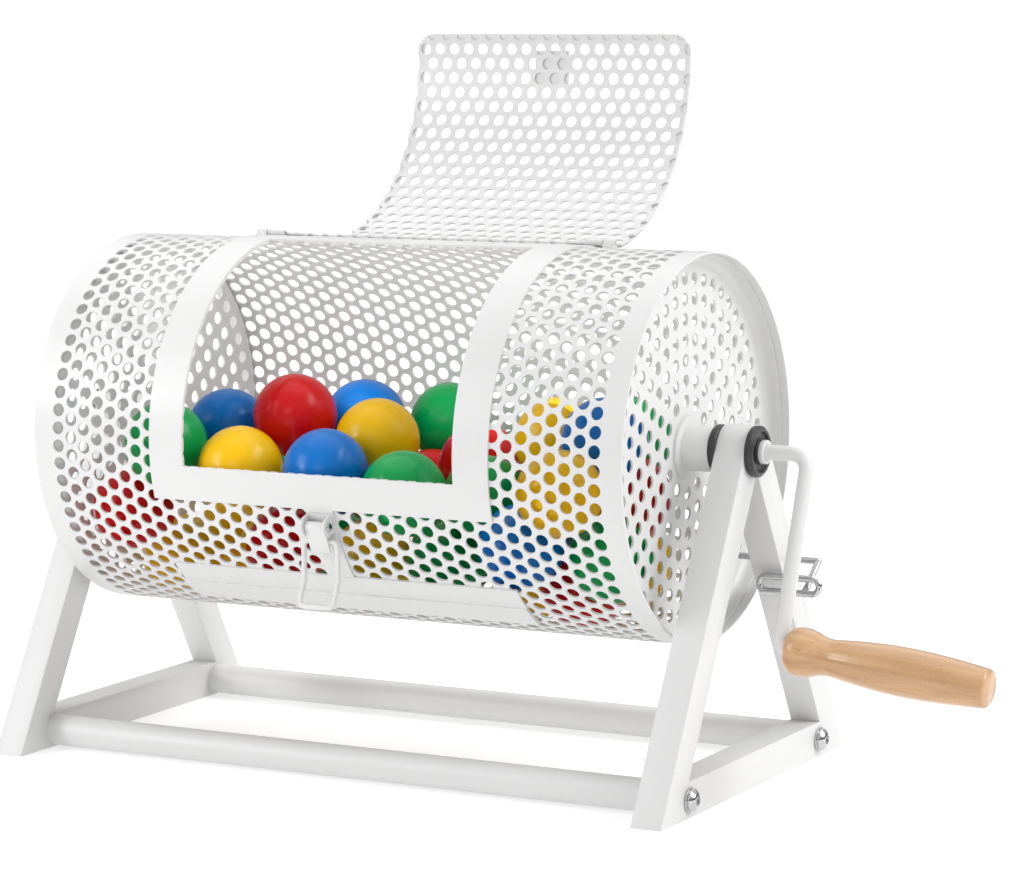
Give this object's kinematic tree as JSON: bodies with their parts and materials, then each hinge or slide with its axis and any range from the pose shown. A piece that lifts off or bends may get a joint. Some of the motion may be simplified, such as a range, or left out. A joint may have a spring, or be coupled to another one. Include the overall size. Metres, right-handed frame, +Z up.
{
  "type": "raffle drum",
  "caption": "Perforated drum of coloured balls with a hinged latched lid, turned by a crank with a wooden handle on an A-frame stand.",
  "frame": {"origin": "on the surface that the stand stands on, under the middle of the drum and its axis", "axes": "+X along the drum axis towards the crank, -Y towards the side with the lid opening and latch, +Z up"},
  "size_m": [0.4924, 0.2466, 0.3406],
  "materials": {
    "stand_coat": "satin white powder coat",
    "drum_coat": "satin white powder coat",
    "black_plastic": "moulded, slightly glossy",
    "bright_steel": "bright plated",
    "dark_steel": "oiled",
    "handle_wood": "clear lacquered beech",
    "brass": "plain",
    "ball_red": "glossy",
    "ball_blue": "glossy",
    "ball_yellow": "glossy",
    "ball_green": "glossy"
  },
  "bodies": {
    "stand": {"left_a_frame": "stand_coat", "right_a_frame": "stand_coat", "left_cross_tube": "stand_coat", "right_cross_tube": "stand_coat", "front_rail": "stand_coat", "rear_rail": "stand_coat", "rail_inserts": "dark_steel", "washers": "bright_steel", "rail_bolts": "bright_steel", "left_inner_bush": "black_plastic", "right_inner_bush": "black_plastic", "left_outer_bush": "black_plastic", "right_outer_bush": "black_plastic"},
    "drum": {"drum_shell": "drum_coat", "left_end_plate": "drum_coat", "right_end_plate": "drum_coat", "door_frame": "drum_coat", "seam_strip": "drum_coat", "latch_plate": "drum_coat", "left_hub": "drum_coat", "right_hub": "drum_coat", "set_screws": "dark_steel", "left_axle": "drum_coat", "left_stop_collar": "drum_coat", "crank_rod": "drum_coat", "right_stop_collar": "drum_coat", "grip_ring": "dark_steel", "hinge_brackets": "drum_coat", "hinge_pins": "bright_steel", "latch_base": "drum_coat", "latch_rivet": "bright_steel"},
    "lid": {"lid_panel": "drum_coat", "lid_hem": "drum_coat", "lid_leaves": "drum_coat", "lid_catch": "drum_coat", "catch_rivets": "drum_coat"},
    "latch_lever": {"latch_lever": "drum_coat"},
    "latch_bail": {"latch_bail": "drum_coat"},
    "lock_pin": {"lock_pin": "bright_steel"},
    "grip": {"wood_handle": "handle_wood", "grip_bush": "brass"},
    "balls": {"balls_red": "ball_red", "balls_blue": "ball_blue", "balls_yellow": "ball_yellow", "balls_green": "ball_green"}
  },
  "joints": [
    {"name": "drum_spin", "type": "hinge", "parent": "stand", "child": "drum", "pos_m": [0, 0, 0.1555], "axis": [1, 0, 0], "range_deg": [-90, 120]},
    {"name": "lid_hinge", "type": "hinge", "parent": "drum", "child": "lid", "pos_m": [0, 0.01691, 0.24675], "axis": [1, 0, 0], "range_deg": [0, 192]},
    {"name": "latch_lever_pivot", "type": "hinge", "parent": "drum", "child": "latch_lever", "pos_m": [0, -0.08946, 0.12152], "axis": [-1, 0, 0], "range_deg": [0, 100]},
    {"name": "latch_bail_pivot", "type": "hinge", "parent": "latch_lever", "child": "latch_bail", "pos_m": [0, -0.08597, 0.11454], "axis": [-1, 0, 0], "range_deg": [-15, 60]},
    {"name": "lock_pin_slide", "type": "slide", "parent": "stand", "child": "lock_pin", "axis": [-1, 0, 0], "range_m": [0, 0.01]},
    {"name": "grip_spin", "type": "hinge", "parent": "drum", "child": "grip", "pos_m": [0.2052, -0.03117, 0.07257], "axis": [0.9951, -0.0349, -0.093], "continuous": true},
    {"name": "balls_roll", "type": "hinge", "parent": "stand", "child": "balls", "pos_m": [0, 0, 0.1555], "axis": [1, 0, 0], "range_deg": [-20, 20]}
  ]
}
